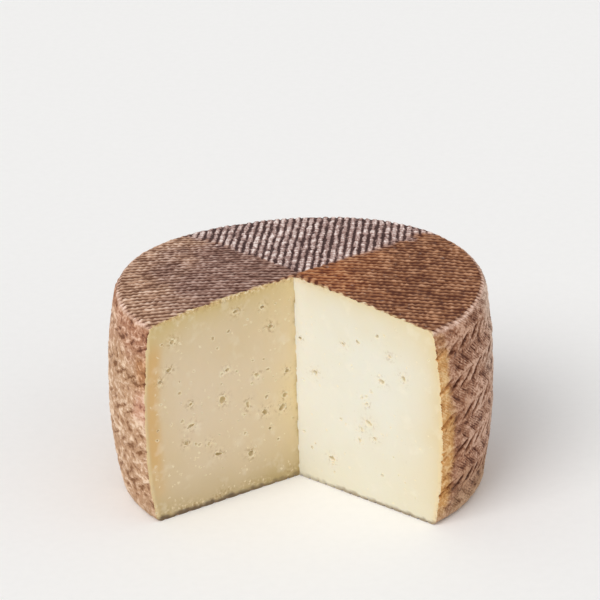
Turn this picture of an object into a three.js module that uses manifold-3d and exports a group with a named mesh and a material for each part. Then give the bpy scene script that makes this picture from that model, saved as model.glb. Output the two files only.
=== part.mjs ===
// A pressed sheep's-milk cheese wheel with one wedge cut out of its front: a barrel-sided drum whose
// rind keeps the mark of the plaited band and of the two ribbed boards that it was pressed in.
// Millimetres, +Z up. The origin is on the wheel's axis, in the plane that it rests on, and the cut
// opens towards -Y.

import * as THREE from "three";
import { mergeGeometries, mergeVertices } from "three/addons/utils/BufferGeometryUtils.js";
import Module from "manifold-3d";

// ---- driving dimensions -------------------------------------------------------------------------

const WHEEL_RADIUS = 100; // at half height, where the side swells most
const RIM_HEIGHT = 107;
const TOP_DRAW = 4.9; // how much smaller the radius is at the top rim than at half height
const BASE_DRAW = 5.9; // the same at the base
const SIDE_POWER = 2.2; // how late the side turns in towards the rims
const CROWN = 4.4; // rise of the top from rim to middle
const TOP_ROUND = 3.7; // radius of the top edge
const BASE_ROUND = 3; // radius of the bottom edge
const ROUND_STEPS = 2;

const CUT_APEX = [-2.7, -6.5]; // where the two cuts meet, beside the axis
const CUT_LEFT = 55.5; // degrees from -Y towards -X
const CUT_RIGHT = 47.8; // degrees from -Y towards +X

const SLATS = 60; // plaited slats round the side
const SLAT_RUN = 14; // how far a slat runs sideways while it crosses its course
const COURSES = 11;
const LOWEST_COURSE = 4.8; // height at which the courses start
const HIGHEST_COURSE = 103.5; // height at which the rim cuts the last one short
const TALL_COURSE = 10.7; // courses that lean to the left
const SHORT_COURSE = 8; // courses that lean to the right
const TALL_DEPTH = 0.9; // groove between two slats, half way up a tall course
const SHORT_DEPTH = 1.5; // the same in a short course
const SLAT_END_DEPTH = 0.5; // the same where two courses meet

const ROW_PITCH = 3.8; // from rib to rib on the top and the base
const ROW_DEPTH = 1.0;
const ROW_TURN = -5; // degrees, the ribs' turn from the X axis
const RIBBED_RADIUS = 92; // where the ribs end at the smooth rim
const BASE_RIBBED_RADIUS = 90;
const RIBBED_SIDES = 60;
const BASE_LAND = 2.2; // flat width of a rib that the wheel stands on
const SLAB_DEEP = 12; // how deep the ribbed slabs reach into the drum
const SLAB_BED = 2.2; // how far below their faces the drum's own ends stay
const SLAB_OVERLAP = 0.4; // how far the slabs reach into the smooth rims

const EYE_FULLNESS = 1.12; // makes a faceted ball as wide as the eye it stands for
const SMALL_EYE = 1.7;
const LEFT_SMALL_EYES = 10;
const RIGHT_SMALL_EYES = 6;

// The largest eyes: distance from the apex, height, width and tallness.
const LEFT_EYES = [
  [19.8, 100.5, 2.4, 1.8],
  [15.3, 88.6, 3.4, 3],
  [36, 102.2, 4, 2],
  [74, 96.1, 3.2, 2.6],
  [76.9, 81.6, 3.4, 2],
  [82.5, 76.1, 2.6, 2.2],
  [42.3, 71.8, 2.6, 2],
  [24.6, 64.3, 2.8, 2.4],
  [6, 61.4, 2.6, 2.2],
  [45.6, 56.4, 3.2, 4],
  [64.8, 59.3, 2.2, 1.8],
  [65.6, 47.3, 4.4, 2.2],
  [7.5, 48.3, 2.8, 2.4],
  [9.4, 42, 4.4, 3.6],
  [20, 42.3, 4.2, 3.2],
  [30.6, 49.5, 1.8, 4.4],
  [68.5, 38.3, 2.6, 2.2],
  [49.6, 27, 3.4, 2.4],
  [29.4, 21.4, 3.6, 3.2],
  [55, 34.5, 2.2, 2.2],
];
const RIGHT_EYES = [
  [3, 78.9, 2, 1.8],
  [32.3, 83.5, 2.8, 1.8],
  [62.9, 84.9, 2.6, 1.4],
  [71.5, 75.5, 2.6, 3.2],
  [57.3, 69.8, 3.4, 2.4],
  [12.8, 62, 3.6, 3],
  [47.3, 54.3, 2.2, 1.8],
  [48.5, 44.1, 3.8, 2.6],
  [43.4, 39.5, 2.8, 2],
  [52.3, 36.6, 2.2, 1.8],
  [42.1, 32.9, 2, 2.4],
  [23.4, 16.8, 3.8, 2.8],
];

const SEED = 4711;
const MODEL_GAP = 0.001; // vertices closer than this are one
const FINAL_GAP = 0.015; // the same on the finished surface, where the cuts leave slivers

// ---- helpers ------------------------------------------------------------------------------------

const wasm = await Module();
wasm.setup();

const radians = THREE.MathUtils.degToRad;

/** Park-Miller draws from 0 to 1, the same on every run. */
function makeRandom(seed) {
  let state = seed;
  return () => {
    state = (state * 16807) % 2147483647;
    return state / 2147483647;
  };
}

/** The bare surface of a geometry, its vertices welded and its collapsed triangles dropped. */
function welded(geometry, gap) {
  const bare = geometry.clone();
  bare.deleteAttribute("normal");
  bare.deleteAttribute("uv");
  bare.clearGroups();
  const joined = mergeVertices(bare, gap);
  const corners = joined.index.array;
  const kept = [];
  for (let i = 0; i < corners.length; i += 3) {
    const [a, b, c] = corners.slice(i, i + 3);
    if (a !== b && b !== c && c !== a) kept.push(a, b, c);
  }
  joined.setIndex(kept);
  return joined;
}

/** A closed geometry as a solid that can be joined and cut. */
function solid(geometry) {
  const surface = welded(geometry, MODEL_GAP);
  const mesh = new wasm.Mesh({
    numProp: 3,
    vertProperties: new Float32Array(surface.attributes.position.array),
    triVerts: new Uint32Array(surface.index.array),
  });
  return new wasm.Manifold(mesh);
}

/** Turns a solid back into a geometry. */
function geometryOf(manifold) {
  const mesh = manifold.getMesh();
  const geometry = new THREE.BufferGeometry();
  geometry.setAttribute("position", new THREE.BufferAttribute(mesh.vertProperties, 3));
  geometry.setIndex(new THREE.BufferAttribute(mesh.triVerts, 1));
  return geometry;
}

/** Moves every vertex of a geometry by a function of its place. */
function moveVertices(geometry, move) {
  const place = geometry.attributes.position;
  const at = new THREE.Vector3();
  for (let i = 0; i < place.count; i += 1) {
    at.fromBufferAttribute(place, i);
    move(at, i);
    place.setXYZ(i, at.x, at.y, at.z);
  }
  return geometry;
}

// ---- the wheel's outline ------------------------------------------------------------------------

/** Radius of the smooth side at height z. */
function sideRadius(z) {
  const fromMiddle = z / (RIM_HEIGHT / 2) - 1;
  const draw = fromMiddle > 0 ? TOP_DRAW : BASE_DRAW;
  return WHEEL_RADIUS - draw * Math.abs(fromMiddle) ** SIDE_POWER;
}

/** Height of the crowned top at a radius, with its rounded edge. */
function topHeight(radius) {
  const edge = sideRadius(RIM_HEIGHT);
  const crown = RIM_HEIGHT + CROWN * (1 - (radius / edge) ** 2);
  const past = Math.min(Math.max(radius - (edge - TOP_ROUND), 0), TOP_ROUND);
  return crown - (TOP_ROUND - Math.sqrt(TOP_ROUND ** 2 - past ** 2));
}

/** The slow unevenness of a wheel that was turned and pressed by hand, a millimetre or so. */
function uneven(at) {
  const turn = Math.atan2(at.y, at.x);
  const reach = Math.hypot(at.x, at.y) / WHEEL_RADIUS;
  const height = at.z / RIM_HEIGHT;
  const lobes = 0.83 * Math.sin(3 * turn + 3.94 + 2.76 * height);
  const swell = 0.24 * Math.sin(2 * turn + 1.72) + lobes - 0.41;
  const sink = -1.5 * Math.sin(at.x / 34 + 2.53) * Math.sin(at.y / 41 - 0.485);
  const scale = 1 + (swell * reach * reach) / WHEEL_RADIUS;
  at.x *= scale;
  at.y *= scale;
  at.z += sink * height ** 4;
}

// ---- the side, with its plaited band ------------------------------------------------------------

/**
 * Profile rows of the side, at the ends and the middle of each course: radius, height, sideways lean of
 * the slats and depth of their grooves.
 */
function sideRows() {
  const rows = [];
  let foot = LOWEST_COURSE;
  for (let course = 0; course < COURSES; course += 1) {
    const tall = course % 2 === 0;
    const full = tall ? TALL_COURSE : SHORT_COURSE;
    const rise = Math.min(full, HIGHEST_COURSE - foot);
    const addRow = (share, depth) => {
      const height = foot + rise * share;
      const crossed = (rise * share) / full;
      const lean = SLAT_RUN * (tall ? 1 - crossed : crossed);
      rows.push({ radius: sideRadius(height), height, lean, depth });
    };
    addRow(0, SLAT_END_DEPTH);
    addRow(0.5, tall ? TALL_DEPTH : SHORT_DEPTH);
    if (course === COURSES - 1) addRow(1, SLAT_END_DEPTH);
    foot += rise;
  }
  return rows;
}

/** A profile row with no groove, as on the rims and under the ribs. */
function smoothRow(radius, height) {
  return { radius, height, lean: SLAT_RUN, depth: 0 };
}

/** The rounded bottom edge, from the flat of the base up to the side. */
function baseEdgeRows() {
  const rows = [];
  for (let step = ROUND_STEPS; step > 0; step -= 1) {
    const turn = (step / ROUND_STEPS) * (Math.PI / 2);
    const height = BASE_ROUND * (1 - Math.sin(turn));
    rows.push(smoothRow(sideRadius(height) - BASE_ROUND * (1 - Math.cos(turn)), height));
  }
  return rows;
}

/** The rounded top edge, from the side in to where the ribs end. */
function topEdgeRows() {
  const rows = [];
  for (let step = 1; step <= ROUND_STEPS; step += 1) {
    const turn = (step / ROUND_STEPS) * (Math.PI / 2);
    const radius = sideRadius(RIM_HEIGHT) - TOP_ROUND * (1 - Math.cos(turn));
    if (radius > RIBBED_RADIUS) rows.push(smoothRow(radius, topHeight(radius)));
  }
  return rows;
}

/** The drum: a lathe whose rows are turned against each other, so that its columns zigzag. */
function drum() {
  const topInner = RIBBED_RADIUS - SLAB_OVERLAP;
  const baseInner = BASE_RIBBED_RADIUS - SLAB_OVERLAP;
  const rows = [
    smoothRow(0, SLAB_BED),
    smoothRow(baseInner - SLAB_OVERLAP, SLAB_BED),
    smoothRow(baseInner, 0),
    ...baseEdgeRows(),
    ...sideRows(),
    ...topEdgeRows(),
    smoothRow(topInner, topHeight(topInner)),
    smoothRow(topInner - SLAB_OVERLAP, topHeight(topInner) - SLAB_BED),
    smoothRow(topInner / 2, topHeight(topInner / 2) - SLAB_BED),
    smoothRow(0, topHeight(0) - SLAB_BED),
  ];
  const profile = rows.map((row) => new THREE.Vector2(row.radius, row.height));
  const geometry = new THREE.LatheGeometry(profile, SLATS * 2);
  const random = makeRandom(SEED);
  const depthOf = Array.from({ length: SLATS }, () => 0.75 + 0.5 * random());
  moveVertices(geometry, (at, index) => {
    const row = rows[index % rows.length];
    const column = Math.floor(index / rows.length) % (SLATS * 2);
    const groove = column % 2 === 0 ? row.depth * depthOf[column / 2] : 0;
    const turn = (column / (SLATS * 2)) * 2 * Math.PI + row.lean / WHEEL_RADIUS;
    const radius = Math.max(row.radius - groove, 0);
    at.set(radius * Math.cos(turn), radius * Math.sin(turn), row.height);
  });
  return solid(geometry);
}

// ---- the ribbed top and base --------------------------------------------------------------------

/** Distances of the lines that shape the ribs, counted from the middle, with the depth of each. */
function ribLines(land, reach) {
  const flank = (ROW_PITCH - land) / 2;
  const lines = [{ at: 0, depth: 0 }];
  for (let groove = ROW_PITCH / 2; groove < reach + ROW_PITCH; groove += ROW_PITCH) {
    if (land > 0) lines.push({ at: groove - flank, depth: 0 });
    lines.push({ at: groove, depth: ROW_DEPTH });
    lines.push({ at: groove + flank, depth: 0 });
  }
  return lines;
}

/**
 * A round slab whose outer face is ribbed. The ribs of a quarter are L-shaped: they run in from the
 * rim, turn a right angle on the quarter's diagonal and run out again, so that four fans of straight
 * ribs meet on two diagonals. Each quarter is a box bent round its diagonal, open where it joins the
 * next one.
 */
function ribbedSlab(lines, radius, armSteps, faceHeight, backHeight) {
  const reach = WHEEL_RADIUS + 5;
  const quarters = [];
  for (let quarter = 0; quarter < 4; quarter += 1) {
    const box = new THREE.BoxGeometry(2, 1, 1, armSteps * 2, lines.length - 1, 1);
    const innerWall = box.groups[3];
    const corners = Array.from(box.index.array);
    corners.splice(innerWall.start, innerWall.count);
    box.setIndex(corners);
    box.clearGroups();
    moveVertices(box, (at) => {
      const line = lines[Math.round((at.y + 0.5) * (lines.length - 1))];
      const along = line.at + Math.abs(at.x) * (reach - line.at);
      const face = at.z > 0;
      at.set(at.x < 0 ? -along : -line.at, at.x < 0 ? line.at : along, 0);
      at.z = face ? faceHeight(Math.min(at.length(), radius)) - line.depth : backHeight;
    });
    box.rotateZ(quarter * (Math.PI / 2) + radians(ROW_TURN));
    quarters.push(box);
  }
  const disc = new THREE.CylinderGeometry(radius, radius, RIM_HEIGHT, RIBBED_SIDES);
  disc.rotateX(Math.PI / 2);
  return solid(mergeGeometries(quarters)).intersect(solid(disc.translate(0, 0, faceHeight(0))));
}

function topSlab() {
  const lines = ribLines(0, RIBBED_RADIUS * Math.SQRT1_2);
  return ribbedSlab(lines, RIBBED_RADIUS, 2, topHeight, RIM_HEIGHT - SLAB_DEEP);
}

/** The base is ribbed as the top is, but its ribs are pressed flat where the wheel stands on them. */
function baseSlab() {
  const lines = ribLines(BASE_LAND, BASE_RIBBED_RADIUS * Math.SQRT1_2);
  const slab = ribbedSlab(lines, BASE_RIBBED_RADIUS, 1, () => 0, -SLAB_DEEP);
  return slab.rotate([180, 0, 0]);
}

// ---- the cut and its eyes -----------------------------------------------------------------------

/** Unit vector along a cut, from the apex outwards. */
function cutDirection(degreesFromFront) {
  const turn = radians(degreesFromFront);
  return new THREE.Vector2(Math.sin(turn), -Math.cos(turn));
}

/** The wedge that was taken out, from below the base to above the crown. */
function missingWedge() {
  const apex = new THREE.Vector2(...CUT_APEX);
  const reach = WHEEL_RADIUS * 2;
  const outline = new THREE.Shape([
    apex,
    apex.clone().addScaledVector(cutDirection(-CUT_LEFT), reach),
    apex.clone().addScaledVector(cutDirection(CUT_RIGHT), reach),
  ]);
  const wedge = new THREE.ExtrudeGeometry(outline, { depth: RIM_HEIGHT + 20, bevelEnabled: false });
  return solid(wedge.translate(0, 0, -10));
}

/**
 * One eye: a low, uneven ball on a cut face, half of it sunk in the paste. along is its distance from
 * the apex, then come its height, its width and its tallness.
 */
function eye(direction, [along, height, width, tall], random) {
  const ball = new THREE.IcosahedronGeometry(EYE_FULLNESS, 0);
  const lean = (random() - 0.5) * 1.2;
  const depth = Math.min(width, tall) * (0.45 + 0.25 * random());
  ball.rotateZ(random() * Math.PI);
  ball.scale(width / 2, tall / 2, depth);
  ball.rotateZ(lean);
  const inward = new THREE.Vector3(-direction.y, direction.x, 0);
  const frame = new THREE.Matrix4().makeBasis(
    new THREE.Vector3(-direction.x, -direction.y, 0),
    new THREE.Vector3(0, 0, 1),
    inward,
  );
  frame.setPosition(CUT_APEX[0] + direction.x * along, CUT_APEX[1] + direction.y * along, height);
  ball.applyMatrix4(frame);
  return solid(ball);
}

/** The eyes of one cut: the large ones where they show, and small ones scattered between them. */
function eyesOf(degreesFromFront, largest, smallCount, seed) {
  const direction = cutDirection(degreesFromFront);
  const random = makeRandom(seed);
  const eyes = largest.map((place) => eye(direction, place, random));
  for (let count = 0; count < smallCount; count += 1) {
    const along = 6 + 78 * random();
    const height = 9 + 88 * random();
    const size = SMALL_EYE * (0.8 + 0.6 * random());
    eyes.push(eye(direction, [along, height, size, size * (0.6 + 0.4 * random())], random));
  }
  return eyes.reduce((all, one) => all.add(one));
}

// ---- the cheese ---------------------------------------------------------------------------------

function cheese() {
  const wheel = geometryOf(drum().add(topSlab()).add(baseSlab()));
  const eyes = eyesOf(-CUT_LEFT, LEFT_EYES, LEFT_SMALL_EYES, SEED + 1).add(
    eyesOf(CUT_RIGHT, RIGHT_EYES, RIGHT_SMALL_EYES, SEED + 2),
  );
  const cut = solid(moveVertices(wheel, uneven)).subtract(missingWedge()).subtract(eyes);
  const geometry = welded(geometryOf(cut), FINAL_GAP);
  geometry.computeVertexNormals();
  const material = new THREE.MeshStandardMaterial({ color: 0xa98470, roughness: 0.8, metalness: 0 });
  const mesh = new THREE.Mesh(geometry, material);
  mesh.name = "cheese";
  return mesh;
}

const group = new THREE.Group();
group.add(cheese());

export default group;
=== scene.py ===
"""The looks of a cut wheel of pressed cheese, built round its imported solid.

The rind is made from the same driving sizes as the solid, as meshes whose lines follow the ribs of the
top and the slats of the plaited side, so that every groove is modelled. The wheel is then cut with a
wedge and pitted with eyes. Sizes are millimetres until a mesh is made, and the frame is the solid's:
the origin is on the wheel's axis in the plane that it rests on, and the cut opens towards -Y.
"""

import math

import bmesh
import bpy
import numpy as np
from mathutils import Matrix, Vector


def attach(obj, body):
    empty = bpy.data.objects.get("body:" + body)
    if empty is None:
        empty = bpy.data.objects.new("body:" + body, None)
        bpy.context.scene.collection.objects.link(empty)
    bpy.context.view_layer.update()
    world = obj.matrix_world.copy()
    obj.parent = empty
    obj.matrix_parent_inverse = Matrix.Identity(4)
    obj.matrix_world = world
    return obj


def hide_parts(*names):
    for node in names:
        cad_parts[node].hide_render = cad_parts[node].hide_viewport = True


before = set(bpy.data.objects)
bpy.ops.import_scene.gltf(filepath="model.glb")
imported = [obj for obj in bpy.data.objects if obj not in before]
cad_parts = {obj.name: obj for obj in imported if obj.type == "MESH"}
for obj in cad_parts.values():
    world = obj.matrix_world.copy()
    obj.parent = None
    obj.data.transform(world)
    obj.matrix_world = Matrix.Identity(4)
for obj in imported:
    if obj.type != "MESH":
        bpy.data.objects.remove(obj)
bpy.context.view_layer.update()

MM = 0.001

# ---- sizes of the wheel, as in the solid ----

SKIN = 0.12  # how far the fine surface stays inside the solid's outline
WHEEL_RADIUS = 100.0
RIM_HEIGHT = 107.0
TOP_DRAW = 4.9
BASE_DRAW = 5.9
SIDE_POWER = 2.2
CROWN = 4.4
TOP_ROUND = 3.7
BASE_ROUND = 3.0

CUT_APEX = np.array([-2.7, -6.5])
CUT_LEFT = 55.5  # degrees from -Y towards -X
CUT_RIGHT = 47.8  # degrees from -Y towards +X

SLATS = 60
SLAT_RUN = 14.0
COURSES = 11
LOWEST_COURSE = 4.8
HIGHEST_COURSE = 103.5
TALL_COURSE = 10.7
SHORT_COURSE = 8.0

ROW_PITCH = 3.8
ROW_DEPTH = 1.0
ROW_TURN = math.radians(-5)
RIBBED_RADIUS = 92.0
BASE_RIBBED_RADIUS = 90.0
BASE_LAND = 2.2
SLAB_DEEP = 12.0
SLAB_BED = 2.6
SLAB_OVERLAP = 0.4
SLAB_REACH = WHEEL_RADIUS + 5
LEFT, RIGHT = 0, 1  # the two faces of the cut
PASTE = 1  # the material slot of the cut faces

# ---- finer sizes, only in the looks ----

FIBRES = 5  # fibres side by side in a slat
SIDE_BED = 0.42  # how far the slats' faces lie under the ridges between the courses
SHORT_SLOT, TALL_SLOT = 1.45, 0.35  # depth of the slots between slats, in short and tall courses
SHORT_SLOT_EDGE, TALL_SLOT_EDGE = 0.31, 0.16  # half of a slot's width, as a part of a slat
SLOT_CORE = 0.06  # half of the width that is at full depth
SLOT_TAPER = 2.4  # length over which a slot's end runs out
SHORT_FIBRE, TALL_FIBRE = 0.16, 0.62  # depth of the lines between fibres
RIDGE_WIDTH = 1.1  # of the ridges where two courses meet, to each side
WORN_CELL, WORN_CRUMB = 0.62, 0.12  # depth of the dents and crumbs where the plait is rubbed off
WORN_STRETCH = [1, 0.3, 1]  # they run on round the wheel at the left
WORN_LEFT = 205  # degrees round the wheel to the middle of the rubbed part
PLAIT_KEPT, PLAIT_KEPT_BY_CUT = 0.26, 0.07  # the least that is left of the plait there and by the cut
SIDE_DEEPEST = 2.2  # no groove of the side goes deeper
BEAD_PITCH = 3.4  # from bead to bead along a rib
BEAD_DROP, LUMP_DROP = 0.34, 0.16  # how far a rib's crest sinks between beads and lumps
RIB_BED = 0.09  # how far the ribs' crests lie under the crown
RIB_DEEPEST = 1.4  # no groove of the top goes deeper
RUN_OUT_FROM, RUN_OUT_TO = 0.4, 2.6  # where the ribs run out on the smooth rim, past their circle
COVERED_DEEPER, COVERED_DROP = 1.15, 0.1  # how much deeper the drum's ribs lie under the slab's
BOOLEAN_SLACK = 0.02  # room for rounding where a slab ends
KNIFE_WAVE, KNIFE_TREMBLE, KNIFE_LINES = 0.12, 0.035, 0.03  # depths on the cut faces
TORN_CORNER, TORN_UNEVEN, TORN_WIDTH = 0.15, 0.12, 0.8  # the torn paste where the cuts meet
EYE_LUMPS = 0.32  # how far an eye strays from an even shape, as a part of its size
PALE_LEFT = 200  # degrees round the wheel to the middle of the paler side
FAR_OFF = 99.0  # further from a cut than any look of its edge reaches

COLUMNS_PER_SLAT = 20  # mesh columns
ROW_STEP = 1.1  # height of a mesh row on the side
BASE_ROUND_ROWS, TOP_ROUND_ROWS = 6, 9  # mesh rows of the rounded edges
RIB_STEPS = 8  # mesh lines across a rib of the top
ALONG_STEP = 0.85  # mesh lines along a rib of the top
BASE_RIB_STEPS = 6
BASE_ALONG_STEP = 2.5
CUT_STEP = 1.0  # mesh step on the cut faces
CUT_REACH = 107  # how far along a cut its fine mesh goes
BEYOND = 30.0  # how far a cutting shape goes past the wheel
SHARP_TURN = math.radians(42)  # an edge of the cut that turns more than this stays sharp
LIP_FROM = 2.5  # how far from the apex the eyes start to have pale lips
ON_SIDE = 40  # a cut's edge lies on the side from this far along it

SEED = 4711
SMALL_EYE = 1.7  # width of the small eyes of the solid, before it varies
FINER_FROM = 1.5  # an eye wider than this gets a finer mesh
LEFT_SMALL_EYES = 10
RIGHT_SMALL_EYES = 6
LEFT_PINHOLES = 120
RIGHT_PINHOLES = 50

# The largest eyes: distance from the apex, height, width and tallness.
LEFT_EYES = [
    (19.8, 100.5, 2.4, 1.8), (15.3, 88.6, 3.4, 3), (36, 102.2, 4, 2), (74, 96.1, 3.2, 2.6),
    (76.9, 81.6, 3.4, 2), (82.5, 76.1, 2.6, 2.2), (42.3, 71.8, 2.6, 2), (24.6, 64.3, 2.8, 2.4),
    (6, 61.4, 2.6, 2.2), (45.6, 56.4, 3.2, 4), (64.8, 59.3, 2.2, 1.8), (65.6, 47.3, 4.4, 2.2),
    (7.5, 48.3, 2.8, 2.4), (9.4, 42, 4.4, 3.6), (20, 42.3, 4.2, 3.2), (30.6, 49.5, 1.8, 4.4),
    (68.5, 38.3, 2.6, 2.2), (49.6, 27, 3.4, 2.4), (29.4, 21.4, 3.6, 3.2), (55, 34.5, 2.2, 2.2),
]
RIGHT_EYES = [
    (3, 78.9, 2, 1.8), (32.3, 83.5, 2.8, 1.8), (62.9, 84.9, 2.6, 1.4), (71.5, 75.5, 2.6, 3.2),
    (57.3, 69.8, 3.4, 2.4), (12.8, 62, 3.6, 3), (47.3, 54.3, 2.2, 1.8), (48.5, 44.1, 3.8, 2.6),
    (43.4, 39.5, 2.8, 2), (52.3, 36.6, 2.2, 1.8), (42.1, 32.9, 2, 2.4), (23.4, 16.8, 3.8, 2.8),
]

# Finer eyes, only in the looks: distance from the apex, height and size.
LEFT_FINE_EYES = [
    (11.9, 100.4, 1.2), (50, 91.4, 2), (80.4, 96, 1.6), (69.8, 93.9, 0.9), (53.4, 79.3, 1.2),
    (45.4, 70.4, 1.8), (36.5, 69.4, 2), (45.9, 65.1, 2), (20, 71.8, 1.5), (27.8, 60.5, 1.5),
    (13.1, 58.3, 1.4), (85, 50.5, 1.6), (82.5, 63.9, 1.2), (85.6, 45.1, 1.4), (76.9, 51.4, 1.5),
    (17.9, 52.4, 1.5), (32.9, 44.3, 1.5), (47.3, 44.9, 1.4), (60.6, 35.5, 2.2), (60.9, 23, 1.3),
    (72.5, 22.3, 1.2), (17.5, 32, 1.8), (12.5, 24.5, 1.5), (2.5, 33.9, 2), (26.9, 24.5, 1.3),
    (87.1, 31, 1.4),
]
RIGHT_FINE_EYES = [
    (4.4, 56, 2), (37.9, 72.6, 1.6), (46.9, 58.5, 1.6), (57.5, 40.1, 1.8), (30, 41.1, 1.8),
    (64.8, 29.9, 1.2), (24.6, 9.5, 1.4), (4.4, 26.6, 1.5),
]


# ---- numbers ----


def random_draws(seed):
    """Park-Miller draws from 0 to 1, the same ones that the solid's eyes are placed with."""
    state = seed
    while True:
        state = (state * 16807) % 2147483647
        yield state / 2147483647


def corner_values(corner, seed):
    """A fixed random value from -1 to 1 for each lattice corner, an (n, 3) array of whole numbers."""
    c = corner.astype(np.int64).astype(np.uint32)
    h = c[:, 0] * np.uint32(374761393) + c[:, 1] * np.uint32(668265263)
    h = h + c[:, 2] * np.uint32(2246822519) + np.uint32(seed * 3266489917 % 2**32)
    h = (h ^ (h >> np.uint32(13))) * np.uint32(1274126177)
    h = h ^ (h >> np.uint32(16))
    return h.astype(np.float64) / 2**31 - 1


def noise(points, cell, seed, octaves=1):
    """Smooth noise from about -1 to 1 at (n, 3) points, with features as large as cell."""
    total = np.zeros(len(points))
    strength = 1.0
    for octave in range(octaves):
        q = points * (2**octave / cell)
        low = np.floor(q)
        f = q - low
        f = f * f * (3 - 2 * f)
        for step in np.ndindex(2, 2, 2):
            step = np.array(step)
            weight = np.prod(np.where(step == 1, f, 1 - f), axis=1)
            total += strength * weight * corner_values(low + step, seed + octave)
        strength *= 0.5
    return total * 1.3


def smooth(low, high, value):
    """0 below low, 1 above high and a smooth ramp between."""
    t = np.clip((value - low) / (high - low), 0, 1)
    return t * t * (3 - 2 * t)


def fade(low, high, value):
    """1 below low, 0 above high and a smooth ramp between."""
    return 1 - smooth(low, high, value)


def from_degrees(turn, middle):
    """How many degrees a turn in radians is from a middle in degrees, either way round."""
    return np.abs((np.degrees(turn) - middle + 180) % 360 - 180)


def polar(radius, turn, height):
    """Points from radius, turn about the axis and height."""
    return np.stack(np.broadcast_arrays(radius * np.cos(turn), radius * np.sin(turn), height), axis=-1)


# ---- the wheel's outline ----


def side_radius(z):
    """Radius of the barrel-shaped side at a height."""
    from_middle = z / (RIM_HEIGHT / 2) - 1
    draw = np.where(from_middle > 0, TOP_DRAW, BASE_DRAW)
    return WHEEL_RADIUS - SKIN - draw * np.abs(from_middle) ** SIDE_POWER


def top_height(radius):
    """Height of the crowned top, with its rounded edge."""
    edge = side_radius(RIM_HEIGHT)
    crown = RIM_HEIGHT + CROWN * (1 - (radius / edge) ** 2)
    past = np.clip(radius - (edge - TOP_ROUND), 0, TOP_ROUND)
    return crown - (TOP_ROUND - np.sqrt(TOP_ROUND**2 - past**2))


def swell_and_sink(p):
    """The slow unevenness of a hand-pressed wheel: a factor on the radius and a drop of the top."""
    turn = np.arctan2(p[:, 1], p[:, 0])
    reach = np.hypot(p[:, 0], p[:, 1]) / WHEEL_RADIUS
    height = p[:, 2] / RIM_HEIGHT
    swell = 0.24 * np.sin(2 * turn + 1.72) + 0.83 * np.sin(3 * turn + 3.94 + 2.76 * height) - 0.41
    sink = -1.5 * np.sin(p[:, 0] / 34 + 2.53) * np.sin(p[:, 1] / 41 - 0.485)
    return 1 + swell * reach**2 / WHEEL_RADIUS, sink * height**4


def uneven(p):
    """Points of the plain wheel moved to the hand-pressed one."""
    scale, drop = swell_and_sink(p)
    return p * np.stack([scale, scale, np.ones(len(p))], axis=1) + np.outer(drop, [0, 0, 1])


def even(p):
    """Undoes uneven, by a few rounds of correction."""
    q = p.copy()
    for _ in range(4):
        scale, drop = swell_and_sink(q)
        q = p - np.outer(drop, [0, 0, 1])
        q[:, :2] /= scale[:, None]
    return q


# ---- relief of the plaited side ----


def course_lines():
    """Heights where one course of the plait meets the next, with the sideways lean of the slats there."""
    heights, leans = [LOWEST_COURSE], [SLAT_RUN]
    for course in range(COURSES):
        tall = course % 2 == 0
        full = TALL_COURSE if tall else SHORT_COURSE
        rise = min(full, HIGHEST_COURSE - heights[-1])
        heights.append(heights[-1] + rise)
        leans.append(SLAT_RUN * (1 - rise / full if tall else rise / full))
    return np.array(heights), np.array(leans)


COURSE_HEIGHTS, COURSE_LEANS = course_lines()
RIM_LEAN = 2.6  # the lean that the last course would have come to at the rim


def side_lean(z):
    """How far round the slats' lines have run at a height, in millimetres."""
    return np.interp(z, [*COURSE_HEIGHTS, RIM_HEIGHT], [*COURSE_LEANS, RIM_LEAN])


def plait_left(turn, spot):
    """How much of the plait is left, from 0 to 1: it is rubbed off at the left and by the right cut."""
    kept = smooth(40, 95, from_degrees(turn, WORN_LEFT) + 8 * noise(spot, 24, 20))
    by_cut = fade(9, 21, np.abs(cut_place(spot, RIGHT)[1]) + 2.5 * noise(spot, 9, 23, 2))
    by_cut = by_cut * (np.abs(turn) < math.pi / 2)
    return (PLAIT_KEPT + (1 - PLAIT_KEPT) * kept) * (1 - (1 - PLAIT_KEPT_BY_CUT) * by_cut)


def slat_slots(spot, part, of_slat, short, from_end, broken):
    """The slots along the slats' edges, from 0 to 1 and a little more where they are torn."""
    edge = np.minimum(part, 1 - part) + 0.03 * noise(spot, 2.2, 13)
    slot = fade(SLOT_CORE, np.where(short, SHORT_SLOT_EDGE, TALL_SLOT_EDGE), edge)
    torn = (1 + 0.3 * of_slat) * np.clip(1 + 0.5 * broken, 0, 1.2)
    return slot * smooth(0.0, SLOT_TAPER, from_end + 0.8 * broken) * torn


def slat_fibres(spot, part, broken):
    """The lines between a slat's fibres, from 0 to 1 and a little more where they are torn."""
    wave = 0.5 + 0.5 * np.cos(2 * math.pi * (part * FIBRES + 0.18 * noise(spot, 5, 14)))
    return wave**1.6 * np.clip(0.75 + 0.6 * broken, 0, 1.3)


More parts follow.
